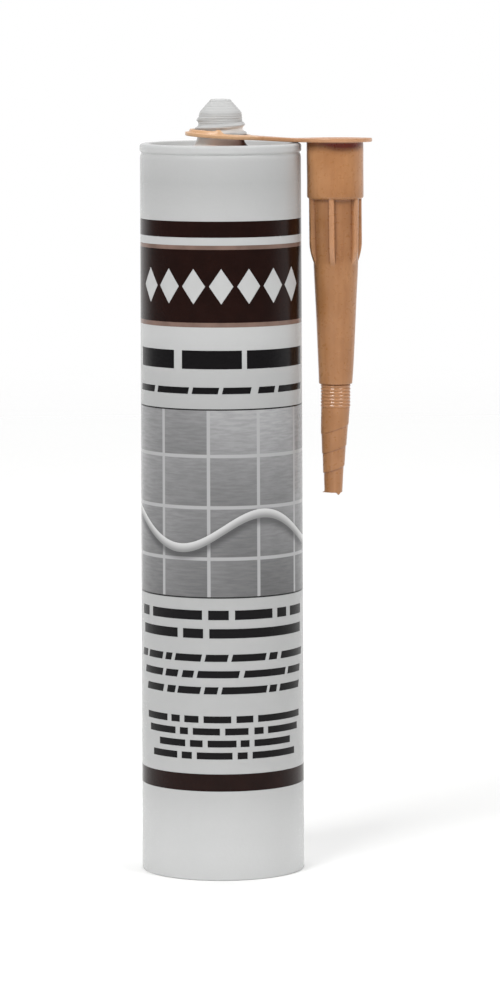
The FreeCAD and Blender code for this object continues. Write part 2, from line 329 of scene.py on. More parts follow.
    # a row of plain lozenges in the field, at the front and at the back
    def lozenges(h):
        cell = g.m("SUBTRACT", h, g.m("MULTIPLY", g.m("ROUND", g.m("DIVIDE", h, 8.6)), 8.6))
        d = g.m("ADD", g.m("DIVIDE", g.m("ABSOLUTE", cell), 3.7),
                g.m("DIVIDE", g.m("ABSOLUTE", g.m("SUBTRACT", z, 180.2)), 5.3))
        return g.m("MULTIPLY", g.m("COMPARE", d, 0.0, 1.0), g.within(h, -30.1, 30.1))
    bands = g.m("SUBTRACT", bands, g.m("ADD", lozenges(u), lozenges(back), clamp=True), clamp=True)

    # rows of bars: one ramp of steps for each row
    def bars(h, lo, hi, spans, lean=0.0):
        if lean:
            h = g.m("SUBTRACT", h, g.m("MULTIPLY", g.m("SUBTRACT", z, (lo + hi) / 2), lean))
        f = g.m("DIVIDE", g.m("ADD", h, 40.0), 80.0)
        r = g.add("ShaderNodeValToRGB")
        r.color_ramp.interpolation = "CONSTANT"
        el = r.color_ramp.elements
        while len(el) > 1:
            el.remove(el[0])
        el[0].position, el[0].color = 0.0, (0, 0, 0, 1)
        for a, b in spans:
            e = el.new((a + 40.0) / 80.0)
            e.color = (1, 1, 1, 1)
            e = el.new((b + 40.0) / 80.0)
            e.color = (0, 0, 0, 1)
        g.link(f, r.inputs[0])
        return g.m("MULTIPLY", r.outputs[0], g.within(z, lo, hi))

    lines_of = [
        bars(u, 155.4, 161.0, [(-33.0, -15.5), (-12.6, 6.0), (7.6, 33.5)]),
        bars(u, 147.9, 149.9, [(-34, -24), (-22.4, -10.5), (-9.2, -1.2), (0.2, 9.0), (11.4, 17.5), (18.9, 33)], 0.25),
        bars(u, 79.6, 82.5, [(-32.5, -27.5), (-25.6, -6.5), (-4.6, 1.8), (3.6, 16.0), (17.9, 22.0), (23.8, 31.5)]),
        bars(u, 74.0, 76.9, [(-31.5, -14.5), (-12.7, -6.0), (-4.2, 31.0)]),
        bars(u, 66.9, 69.1, [(-33, -29), (-27.6, -20.5), (-19.2, -16.6), (-15.4, -6.8), (-5.4, 1.4), (2.6, 13.5), (14.8, 18), (19.4, 32.5)], 0.25),
        bars(u, 61.9, 64.1, [(-30.5, -20.5), (-19.2, -14.5), (-13.0, -9.2), (-8.0, 5.0), (6.4, 21.5), (22.8, 30.6)], 0.25),
        bars(u, 57.0, 59.2, [(-29, -20.0), (-18.6, -15.6), (-14.4, -7.0), (-5.8, -1.8), (-0.4, 13.8), (15.0, 17.6), (18.8, 29.5)], 0.25),
        bars(u, 48.2, 50.3, [(-28.5, -18.5), (-17.0, -13.8), (-12.3, -7.6), (-6.0, 2.4), (3.8, 9.2), (10.8, 29.5)]),
        bars(u, 44.5, 46.6, [(-27.0, -15.4), (-14.0, -11.0), (-9.6, -1.2), (0.4, 7.8), (9.4, 12.6), (14.2, 28.0)]),
        bars(u, 40.8, 42.9, [(-22.0, -12.0), (-10.4, -6.4), (-4.8, 3.8), (5.2, 8.0), (9.6, 23.5)]),
        bars(u, 37.1, 39.2, [(-25.0, -14.8), (-13.4, -9.8), (-8.2, 2.6), (4.2, 7.4), (9.0, 26.0)]),
    ]
    dark = lines_of[0]
    for t in lines_of[1:]:
        dark = g.m("ADD", dark, t, clamp=True)

    # thin bars of uneven length at the back, in two columns
    row = g.m("FRACT", g.m("DIVIDE", z, 2.5))
    rownum = g.m("FLOOR", g.m("DIVIDE", z, 2.5))
    uneven = g.noise(g.vec(g.m("MULTIPLY", back, 0.42), g.m("MULTIPLY", rownum, 7.31), 3.7), 1.0, 0.0)
    small = g.m("MULTIPLY", g.m("GREATER_THAN", uneven, 0.43), g.within(row, 0.30, 0.72))
    columns = g.m("ADD", g.within(back, -29.0, -1.5), g.within(back, 1.5, 29.0), clamp=True)
    blocks = g.m("ADD", g.within(z, 37.5, 82.5), g.within(z, 147.5, 162.5), clamp=True)
    blocks = g.m("MULTIPLY", blocks, columns)
    gaps = g.m("LESS_THAN", g.m("FRACT", g.m("DIVIDE", z, 17.5)), 0.86)
    dark = g.m("ADD", dark, g.m("MULTIPLY", g.m("MULTIPLY", small, blocks), gaps), clamp=True)

    # grey field: plain tiles, each of its own grey, under a soft sweep of light, and one wavy bead
    panel = g.within(z, 86.12, 143.40)
    tile = TAU * 24.7 / 10
    tu, tz = g.m("DIVIDE", g.m("ADD", u, 4.1), tile), g.m("DIVIDE", g.m("SUBTRACT", z, 82.6), tile)
    white = g.add("ShaderNodeTexWhiteNoise", noise_dimensions="3D")
    column = g.m("FLOOR", tu)
    column = g.m("MULTIPLY_ADD", g.m("LESS_THAN", column, -4.5), 10.0, column)
    g.link(g.vec(column, g.m("FLOOR", tz), 5.0), white.inputs["Vector"])
    each = g.m("MULTIPLY_ADD", white.outputs["Value"], 0.26, 0.87)
    fu, fz = g.m("FRACT", tu), g.m("FRACT", tz)
    eu = g.m("MINIMUM", fu, g.m("SUBTRACT", 1.0, fu))
    ez = g.m("MINIMUM", fz, g.m("SUBTRACT", 1.0, fz))
    edge = g.m("MINIMUM", eu, ez)
    slope = g.m("MULTIPLY_ADD", g.m("SUBTRACT", fz, fu), 0.13, 1.0)
    grain = g.noise(g.vec(g.m("MULTIPLY", x, 0.22), g.m("MULTIPLY", y, 0.22), g.m("MULTIPLY", z, 1.6)), 0.9, 4.0, 0.6)
    grain = g.ramp(grain, 0.25, 0.75, 0.88, 1.12)
    height = g.ramp(z, 86.0, 143.0, 0.62, 1.10, smooth=False)
    sweep = g.m("SINE", g.m("MULTIPLY_ADD", theta, 2.0, g.m("MULTIPLY", z, 0.045)))
    sweep = g.m("MULTIPLY_ADD", sweep, 0.16, 1.0)
    tone = g.m("MULTIPLY", g.m("MULTIPLY", each, slope), g.m("MULTIPLY", g.m("MULTIPLY", height, sweep), grain))
    tiles = g.scaled((0.268, 0.268, 0.272), tone)
    tiles = g.mix(g.ramp(edge, 0.026, 0.040, 1.0, 0.0), tiles, (0.40, 0.40, 0.405))
    wave = g.m("MULTIPLY_ADD", g.m("SINE", g.m("MULTIPLY", theta, 3.0)), 5.2, 106.5)
    off = g.m("SUBTRACT", z, wave)
    tiles = g.mix(g.ramp(g.m("ABSOLUTE", g.m("ADD", off, 1.1)), 0.8, 3.6, 0.62, 0.0), tiles, (0.045, 0.045, 0.047))
    bead = g.m("COMPARE", off, 0.0, 1.35)
    shine = g.ramp(off, -1.35, 1.35, 0.24, 0.62)
    tiles = g.mix(bead, tiles, g.scaled((1.0, 1.0, 1.0), shine))
    rules = g.m("ADD", g.within(z, 142.95, 143.40), g.within(z, 86.12, 86.57), clamp=True)
    tiles = g.mix(rules, tiles, (0.02, 0.02, 0.02))

    front = outside
    colour = layer(colour, g.m("MULTIPLY", bands, front), brown)
    colour = layer(colour, g.m("MULTIPLY", lines, front), taupe)
    colour = layer(colour, g.m("MULTIPLY", dark, front), black, tone=False)
    colour = g.mix(g.m("MULTIPLY", panel, front), colour, tiles)
    g.link(colour, g.bsdf.inputs["Base Color"])

    inked = g.m("MULTIPLY", g.m("ADD", g.m("ADD", bands, lines), g.m("ADD", dark, panel), clamp=True), front)
    rough = g.m("MULTIPLY_ADD", fine, 0.10, 0.21)
    rough = g.m("ADD", rough, g.m("MULTIPLY", inked, -0.04))
    g.link(rough, g.bsdf.inputs["Roughness"])
    skin = g.bump(g.noise(P, 0.9, 3.0, 0.55), 0.00012, 0.35)
    film = g.bump(inked, 0.000012, 0.6, skin)
    g.link(film, g.bsdf.inputs["Normal"])
    g.bsdf.inputs["IOR"].default_value = 1.5
    g.bsdf.inputs["Specular IOR Level"].default_value = 0.13
    return mat


def nozzle_material():
    """Tan polyethylene: clouded colour, flow lines down its length, fine skin."""
    mat = bpy.data.materials.new("nozzle_tan_pe")
    g = Graph(mat)
    P, x, y, z = g.place()
    cloud = g.noise(P, 0.11, 3.0, 0.55)
    base = g.mix(g.ramp(cloud, 0.3, 0.7), srgb(168, 115, 71), srgb(179, 126, 82))
    flow = g.noise(g.vec(g.m("MULTIPLY", x, 0.8), g.m("MULTIPLY", y, 0.8), g.m("MULTIPLY", z, 0.045)), 1.0, 1.0, 0.5)
    base = g.mix(g.ramp(flow, 0.45, 0.80, 0.0, 0.38), base, srgb(158, 104, 63))
    base = g.mix(g.ramp(flow, 0.15, 0.42, 0.30, 0.0), base, srgb(190, 139, 99))
    # strap and plate are paler
    base = g.scaled(base, g.ramp(z, 203.0, 210.0, 0.87, 0.97))
    # painted light on the side towards the barrel, which is paler
    reach = g.m("DIVIDE", g.m("SUBTRACT", x, 34.8), g.ramp(z, 149.0, 206.0, 5.1, 8.0, smooth=False))
    lit_side = g.ramp(reach, -0.98, -0.22, 1.0, 0.0)
    tint = g.add("ShaderNodeVectorMath", operation="MULTIPLY")
    g.put(tint.inputs[0], base)
    g.put(tint.inputs[1], g.vec(*[g.m("MULTIPLY_ADD", lit_side, k, 1.0) for k in (0.27, 0.37, 0.52)]))
    base = tint.outputs[0]
    thin = g.mix(g.ramp(x, 22.0, 26.0), srgb(183, 135, 97), srgb(190, 141, 104))
    thin = g.mix(g.ramp(x, 9.0, 13.0), srgb(211, 168, 128), thin)
    base = g.mix(g.ramp(z, 222.0, 222.8), base, thin)
    # painted shade: corners, creases and the crescent under the plate get a darker, redder tone; painted light: proud
    # edges and rib faces get a paler one
    painted_shade_light = g.add("ShaderNodeAttribute", attribute_name="painted_shade_light").outputs["Fac"]
    base = g.mix(g.m("MULTIPLY", painted_shade_light, -0.80, clamp=True), base, srgb(201, 150, 114))
    base = g.mix(g.m("MULTIPLY", painted_shade_light, 0.80, clamp=True), base, srgb(88, 32, 15))
    base = g.mix(g.ramp(painted_shade_light, 0.82, 0.98, 0.0, 0.95), base, srgb(104, 30, 5))
    g.link(base, g.bsdf.inputs["Base Color"])
    fine = g.noise(P, 0.8, 2.0, 0.5)
    ridges = g.m("MULTIPLY", g.ramp(z, 141.4, 141.9), g.ramp(z, 148.9, 149.3, 1.0, 0.0))
    g.link(g.m("MULTIPLY_ADD", ridges, -0.12, g.m("MULTIPLY_ADD", fine, 0.14, 0.22)), g.bsdf.inputs["Roughness"])
    skin = g.bump(fine, 0.00005, 0.35)
    lines = g.bump(flow, 0.00012, 0.30, skin)
    g.link(lines, g.bsdf.inputs["Normal"])
    g.bsdf.inputs["IOR"].default_value = 1.5
    return mat


def piston_material():
    """Natural polyethylene: milky, with faint rings from turning in its mould."""
    mat = bpy.data.materials.new("piston_natural_pe")
    g = Graph(mat)
    P, x, y, z = g.place()
    cloud = g.noise(P, 0.09, 3.0)
    base = g.mix(cloud, (0.62, 0.61, 0.58), (0.74, 0.73, 0.70))
    radius = g.m("SQRT", g.m("ADD", g.m("MULTIPLY", x, x), g.m("MULTIPLY", y, y)))
    rings = g.m("SINE", g.m("MULTIPLY", radius, 9.0))
    fine = g.noise(P, 1.6, 3.0, 0.6)
    base = g.mix(g.ramp(fine, 0.5, 0.8, 0.0, 0.15), base, (0.52, 0.51, 0.48))
    g.link(base, g.bsdf.inputs["Base Color"])
    g.link(g.m("MULTIPLY_ADD", fine, 0.15, 0.34), g.bsdf.inputs["Roughness"])
    skin = g.bump(fine, 0.00010, 0.4)
    g.link(g.bump(rings, 0.00002, 0.4, skin), g.bsdf.inputs["Normal"])
    return mat


def paste_material():
    """Smooth brown paste."""
    mat = bpy.data.materials.new("sealant_paste")
    g = Graph(mat)
    P, x, y, z = g.place()
    cloud = g.noise(P, 0.07, 4.0)
    g.link(g.mix(cloud, srgb(120, 78, 50), srgb(146, 98, 66)), g.bsdf.inputs["Base Color"])
    fine = g.noise(P, 0.8, 3.0)
    g.link(g.m("MULTIPLY_ADD", fine, 0.2, 0.35), g.bsdf.inputs["Roughness"])
    g.link(g.bump(fine, 0.0003, 0.4), g.bsdf.inputs["Normal"])
    return mat


# ------------------------------------------------------------------ mesh helpers
def arc(cx, cz, r, a0, a1, n):
    return [(cx + r * math.cos(math.radians(a0 + (a1 - a0) * i / n)),
             cz + r * math.sin(math.radians(a0 + (a1 - a0) * i / n))) for i in range(n + 1)]


def steps(p, q, n):
    """n points after p, up to and with q."""
    return [(p[0] + (q[0] - p[0]) * i / n, p[1] + (q[1] - p[1]) * i / n) for i in range(1, n + 1)]


def smooth(t):
    t = np.clip(t, 0.0, 1.0)
    return t * t * (3 - 2 * t)


class Builder:
    def __init__(self):
        self.verts, self.faces, self.painted_shade_light = [], [], []

    def loop(self, pts, painted_shade_light=0.0):
        """Adds a closed loop of points and returns their numbers, and the painted shade of each point: 0 to 1, and
        below 0 painted light.
        """
        i = len(self.verts)
        self.verts += [tuple(map(float, p)) for p in pts]
        self.painted_shade_light += np.broadcast_to(np.asarray(painted_shade_light, float), (len(pts),)).tolist()
        return list(range(i, i + len(pts)))

    def point(self, p):
        self.verts.append(tuple(map(float, p)))
        self.painted_shade_light.append(0.0)
        return len(self.verts) - 1

    def bridge(self, a, b):
        n = len(a)
        for i in range(n):
            j = (i + 1) % n
            self.faces.append((a[i], a[j], b[j], b[i]))

    def fan(self, a, centre):
        n = len(a)
        for i in range(n):
            self.faces.append((a[i], a[(i + 1) % n], centre))

    def mesh(self, name, angle=35.0):
        me = bpy.data.meshes.new(name)
        v = np.array(self.verts, float) * MM
        me.from_pydata(v.tolist(), [], self.faces)
        # the painted shade and light of each point, stored for the material
        me.attributes.new("painted_shade_light", "FLOAT", "POINT").data.foreach_set("value", np.array(self.painted_shade_light, np.float32))
        bm = bmesh.new()
        bm.from_mesh(me)
        bmesh.ops.remove_doubles(bm, verts=bm.verts, dist=1.0e-6)
        bmesh.ops.dissolve_degenerate(bm, edges=bm.edges, dist=1.0e-7)
        bmesh.ops.recalc_face_normals(bm, faces=bm.faces)
        bm.to_mesh(me)
        bm.free()
        me.update()
        me.shade_smooth()
        me.set_sharp_from_angle(angle=math.radians(angle))
        return me


def add_piece(name, me, mat, body, node):
    ob = bpy.data.objects.new(name, me)
    bpy.context.scene.collection.objects.link(ob)
    me.materials.append(mat)
    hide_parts(node)
    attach(ob, body)
    return ob


# ------------------------------------------------------------------ barrel
THREAD_START, THREAD_END, PITCH, THREAD_Z0 = -60.0, 640.0, 2.70, 225.20


def neck_core(z):
    """Root radius of the neck, from its foot to its shoulder."""
    return 7.0 - 0.45 * np.clip((z - 224.4) / 6.0, 0, 1)


def thread_radius(deg, z, root):
    """Radius of the neck's skin at angles deg and height z, ridge included."""
    best = np.full_like(deg, root)
    for k in range(-1, 3):
        d = deg + 360.0 * k
        zc = THREAD_Z0 + PITCH * d / 360.0
        crest = 8.0 - 0.75 * d / 540.0
        fade = smooth((d - THREAD_START) / 45.0) * smooth((THREAD_END - d) / 125.0)
        dz = np.abs(z - zc)
        p = np.clip((0.92 - dz) / (0.92 - 0.16), 0, 1)
        p = 0.55 * p + 0.45 * smooth(p)
        best = np.maximum(best, root + (crest - root) * fade * p)
    return best


def turned(z):
    """Fine rings that the lathe left in the neck's mould."""
    a = math.sin(TAU * (z - 226.0) / 0.74) + 0.4 * math.sin(TAU * (z - 226.0) / 1.31 + 1.0)
    return 0.042 * a * float(smooth((z - 226.0) / 1.0))


def make_barrel(mat):
    n = 192
    deg = np.arange(n) * 360.0 / n
    deg = np.where(deg > 180.0, deg - 360.0, deg)
    ca, sa = np.cos(np.radians(deg)), np.sin(np.radians(deg))
    b = Builder()

    def ring(r, z):
        r = np.broadcast_to(r, (n,))
        return b.loop(np.stack([r * ca, r * sa, np.full(n, z)], 1))

    def out_r(z):
        return BASE_R - 0.03 - DRAFT * z

    prof = []
    # inside, from the neck's closed tip down to the rear
    prof += [(0.6, 233.95), (1.25, 233.85), (1.62, 233.62)]
    prof += steps(prof[-1], (4.55, 230.45), 5)
    prof += [(4.75, 230.15), (4.80, 229.8)]
    prof += steps(prof[-1], (4.80, 219.2), 5)
    prof += [(4.9, 218.95), (5.2, 218.80)]
    prof += steps(prof[-1], (BORE_R - 1.6, HEAD_UNDER), 8)
    prof += arc(BORE_R - 1.6, HEAD_UNDER - 1.6, 1.6, 90, 0, 5)[1:]
    prof += steps(prof[-1], (BORE_R, 12.5), 24)
    prof += [(BORE_R, 12.2), (22.9, 11.95), (22.73, 11.78), (22.70, 11.6), (22.70, 11.3), (22.75, 11.15),
             (23.1, 10.75), (23.52, 10.28), (ENTRY_R, 10.1)]
    prof += steps(prof[-1], (ENTRY_R, 0.10), 6)
    # rear rim
    prof += [(ENTRY_R + 0.03, 0.03), (ENTRY_R + 0.12, 0.0), (24.2, 0.0), (BASE_R - 0.41, 0.0)]
    prof += arc(BASE_R - 0.38, 0.35, 0.35, -90, 0, 5)[1:]
    # outside wall
    prof += steps(prof[-1], (out_r(217.6), 217.6), 48)
    prof += [(out_r(218.0), 218.0), (out_r(218.0) - 0.03, 218.35), (out_r(218.0) - 0.09, 218.65),
             (out_r(218.0) - 0.17, 218.9), (24.16, 219.08), (24.03, 219.22), (23.99, 219.32), (23.99, 219.40),
             (24.04, 219.50), (24.22, 219.68), (24.38, 219.84), (24.48, 220.00), (RIM_R, 220.25)]
    prof += steps(prof[-1], (RIM_R, RIM_Z - 0.95), 3)
    prof += arc(RIM_R - 0.95, RIM_Z - 0.95, 0.95, 0, 90, 8)[1:]
    prof += steps(prof[-1], (LIP_R + 0.55, RIM_Z), 3)
    prof += arc(LIP_R + 0.50, RIM_Z - 0.50, 0.50, 90, 172, 6)[1:]
    prof += steps(prof[-1], (LIP_R - 0.20, HEAD_TOP + 0.45), 3)
    prof += [(LIP_R - 0.29, HEAD_TOP + 0.22), (LIP_R - 0.45, HEAD_TOP + 0.07), (LIP_R - 0.70, HEAD_TOP)]
    prof += steps(prof[-1], (11.3, HEAD_TOP), 10)
    prof += arc(11.0, 224.4, 4.0, 270, 188, 14)

    pole = b.point((0, 0, 234.0))
    last = None
    for r, z in prof:
        now = ring(r, z)
        if last is None:
            b.fan(now, pole)
        else:
            b.bridge(last, now)
        last = now
    # threaded neck: close rows, so that the ridge is real
    z = prof[-1][1]
    for z in np.arange(prof[-1][1] + 0.10, 230.56, 0.10):
        root = float(neck_core(z))
        if z < 224.4:
            root = max(root, 11.0 - math.sqrt(16.0 - (224.4 - z) ** 2))
        now = ring(thread_radius(deg, z, root) + turned(z), z)
        b.bridge(last, now)
        last = now
    top = [(6.545, 230.62), (6.53, 230.75), (6.50, 230.92), (6.46, 231.1), (6.41, 231.28), (6.34, 231.45), (6.25, 231.65),
           (6.14, 231.85)]
    top += steps(top[-1], (3.16, 235.16), 34)
    top += [(3.04, 235.30), (2.90, 235.42), (2.72, 235.48), (2.45, 235.50), (1.6, 235.50), (0.7, 235.50)]
    for r, z in top:
        wob = 1.0 + 0.006 * np.sin(3 * np.radians(deg) + 1.0) * (r > 1)
        now = ring(r * wob + turned(z) * (r > 3.1), z)
        b.bridge(last, now)
        last = now
    b.fan(last, b.point((0, 0, 235.50)))
    me = b.mesh("barrel", 40)
    return add_piece("barrel_shell", me, mat, "barrel", "cartridge_barrel")


# ------------------------------------------------------------------ nozzle
BEND = np.array([(223.6, 0.0), (222.3, 0.10), (220.0, 0.13), (208.0, 0.18), (200.4, 0.22), (192.8, 0.28), (183.7, 0.33),
                 (159.3, 0.33), (153.2, 0.27), (148.6, 0.18), (142.5, 0.16), (140.1, 0.06), (134.9, -0.13),
                 (128.8, -0.28), (122.7, -0.42), (115.7, -0.57), (110.0, -0.65)])[::-1]
RIB_SHAPE = [(-1.15, 0.0), (-0.93, 0.03), (-0.83, 0.30), (-0.78, 0.80), (-0.66, 0.95), (-0.32, 1.0), (0.0, 1.0),
             (0.32, 1.0), (0.66, 0.95), (0.78, 0.80), (0.83, 0.30), (0.93, 0.03), (1.15, 0.0)]
COLS_T, COLS_F, COLS_P, COLS_S = [], [], [], []
for _k in range(6):
    _phi = math.radians(-100.0 + 60.0 * _k)
    for _t, _f in RIB_SHAPE:
        COLS_T.append(_t)
        COLS_F.append(_f)
        COLS_P.append(_phi)
        COLS_S.append(-1.0)
    for _i in range(9):
        COLS_T.append(0.0)
        COLS_F.append(0.0)
        COLS_P.append(_phi)
        COLS_S.append((_i + 1) / 10.0)
COLS_T, COLS_F, COLS_P, COLS_S = map(np.array, (COLS_T, COLS_F, COLS_P, COLS_S))
# painted shade on the core between the ribs and on the rib flanks, painted light on the rib faces
RIB_SHADE_LIGHT = np.where(COLS_S >= 0, np.where(np.minimum(COLS_S, 1 - COLS_S) < 0.11, 0.20, 0.16),
                    np.interp(np.abs(COLS_T), [0.66, 0.78, 0.83, 0.93, 1.15], [-0.62, -0.66, 0.15, 0.50, 0.40]))
# the rib on the left side keeps no painted light, only faint painted shade
RIB_SHADE_LIGHT = np.where((RIB_SHADE_LIGHT < 0) & (COLS_P > 3.4), 0.05, RIB_SHADE_LIGHT)


def col_angles(r):
    """Angle of each column of the nozzle's skin, whose radius there is r."""
    reach = np.maximum(r, 7.2)
    rib = COLS_P + COLS_T / reach
    half = 1.15 / np.maximum(np.where(COLS_S >= 0, r, 7.2), 7.2)
    core = COLS_P + half + (math.radians(60) - 2 * half) * COLS_S
    return np.where(COLS_S >= 0, core, rib)


def strap_z(x):
    """Underside of strap and plate: level over the socket, rising in a straight line to the ring."""
    d = BEND_X - np.asarray(x, float)
    w = 2.2
    return PLATE_Z + SLOPE * np.where(d > w, d, np.where(d < -w, 0.0, (d + w) ** 2 / (4 * w)))


def strap_top(x, y):
    x, y = np.asarray(x, float), np.asarray(y, float)
    r = np.hypot(x, y)
    # the collar round the hole is tall on its left half and low on its right
    tall = 1 - smooth((x - 0.2) / 1.1)
    collar = (0.22 + 0.68 * tall) * (1 - smooth((r - 9.15) / 0.55))
    # the mark of the gate, a small pip at the front
    spot = 0.52 * np.exp(-(((x + 0.55) / 0.95) ** 2 + ((y + 8.95) / 0.62) ** 2) ** 2)
    return strap_z(x) + STRAP_T + collar + spot


def twist(v):
    """The plate sits a little askew on the nozzle, front edge up: the twist that its strap has taken."""
    turn = math.tan(math.radians(1.15)) * smooth((v[:, 0] - 6.0) / 18.0) * smooth((v[:, 2] - PLATE_Z + 3.2) / 3.0)
    v[:, 2] -= v[:, 1] * turn
    return v


def outline(off):
    """Plan of ring, strap and plate as one closed line, drawn in by off."""
    fillet = 4.0
    yc = STRAP_W / 2 + fillet
    xr = RING_X + math.sqrt((RING_R + fillet) ** 2 - yc ** 2)
    xp = NX - math.sqrt((PLATE_R + fillet) ** 2 - yc ** 2)
    ar = math.degrees(math.asin(yc / (RING_R + fillet)))
    ap = 180 - math.degrees(math.asin(yc / (PLATE_R + fillet)))
    half = arc(NX, 0, PLATE_R - off, 0, ap, 44)
    half += arc(xp, yc, fillet + off, ap - 180, -90, 10)[1:]
    half += steps(half[-1], (xr, STRAP_W / 2 - off), 8)
    half += arc(xr, yc, fillet + off, -90, -180 + ar, 10)[1:]
    half += arc(RING_X, 0, RING_R - off, ar, 180, 44)[1:]
    return np.array(half + [(px, -py) for px, py in half[-2:0:-1]])


def circle(cx, r, n):
    a = np.arange(n) * TAU / n
    return np.stack([cx + r * np.cos(a), r * np.sin(a)], 1)


def sheet(b, border, holes, inner_loops, height, spacing=1.25):
    """Fills the plan between a border and holes. Points of the loops keep their numbers, so that it joins to the walls."""
    pts, ids, edges = [], [], []

    def take(loop, numbers):
        i = len(pts)
        for p in loop:
            pts.append((float(p[0]), float(p[1])))
        ids.extend(numbers if numbers is not None else [None] * len(loop))
        edges.extend((i + k, i + (k + 1) % len(loop)) for k in range(len(loop)))

    take(*border)
    for h in holes:
        take(*h)
    for c in inner_loops:
        take(c, None)
    outer = border[0]
    hole_list = [h[0] for h in holes]

    def inside(px, py, poly):
        x0, y0 = poly[:, 0], poly[:, 1]
        x1, y1 = np.roll(x0, -1), np.roll(y0, -1)
        cond = (y0 > py) != (y1 > py)
        with np.errstate(divide="ignore", invalid="ignore"):
            xs = (x1 - x0) * (py - y0) / (y1 - y0) + x0
        return bool(np.count_nonzero(cond & (px < xs)) % 2)

    def clear(px, py, gap):
        for poly in [outer] + hole_list + list(inner_loops):
            if np.min(np.hypot(poly[:, 0] - px, poly[:, 1] - py)) < gap:
                return False
        return True

    lo, hi = outer.min(0), outer.max(0)
    k = 0
    yy = lo[1] + spacing / 2
    while yy < hi[1]:
        xx = lo[0] + (spacing / 2 if k % 2 else 0.1)
        while xx < hi[0]:
            if inside(xx, yy, outer) and not any(inside(xx, yy, h) for h in hole_list) and clear(xx, yy, spacing * 0.45):
                pts.append((float(xx), float(yy)))
                ids.append(None)
            xx += spacing
        yy += spacing * 0.866
        k += 1
    out_v, _, out_f, orig, _, _ = delaunay_2d_cdt([Vector(p) for p in pts], edges, [], 0, 1e-7)
    numbers = []
    for v, o in zip(out_v, orig):
        known = [ids[i] for i in o if ids[i] is not None]
        if known:
            numbers.append(known[0])
        else:
            numbers.append(b.point((v.x, v.y, float(height(v.x, v.y)))))
    for f in out_f:
        cx = sum(out_v[i].x for i in f) / len(f)
        cy = sum(out_v[i].y for i in f) / len(f)
        if inside(cx, cy, outer) and not any(inside(cx, cy, h) for h in hole_list):
            b.faces.append(tuple(numbers[i] for i in f))


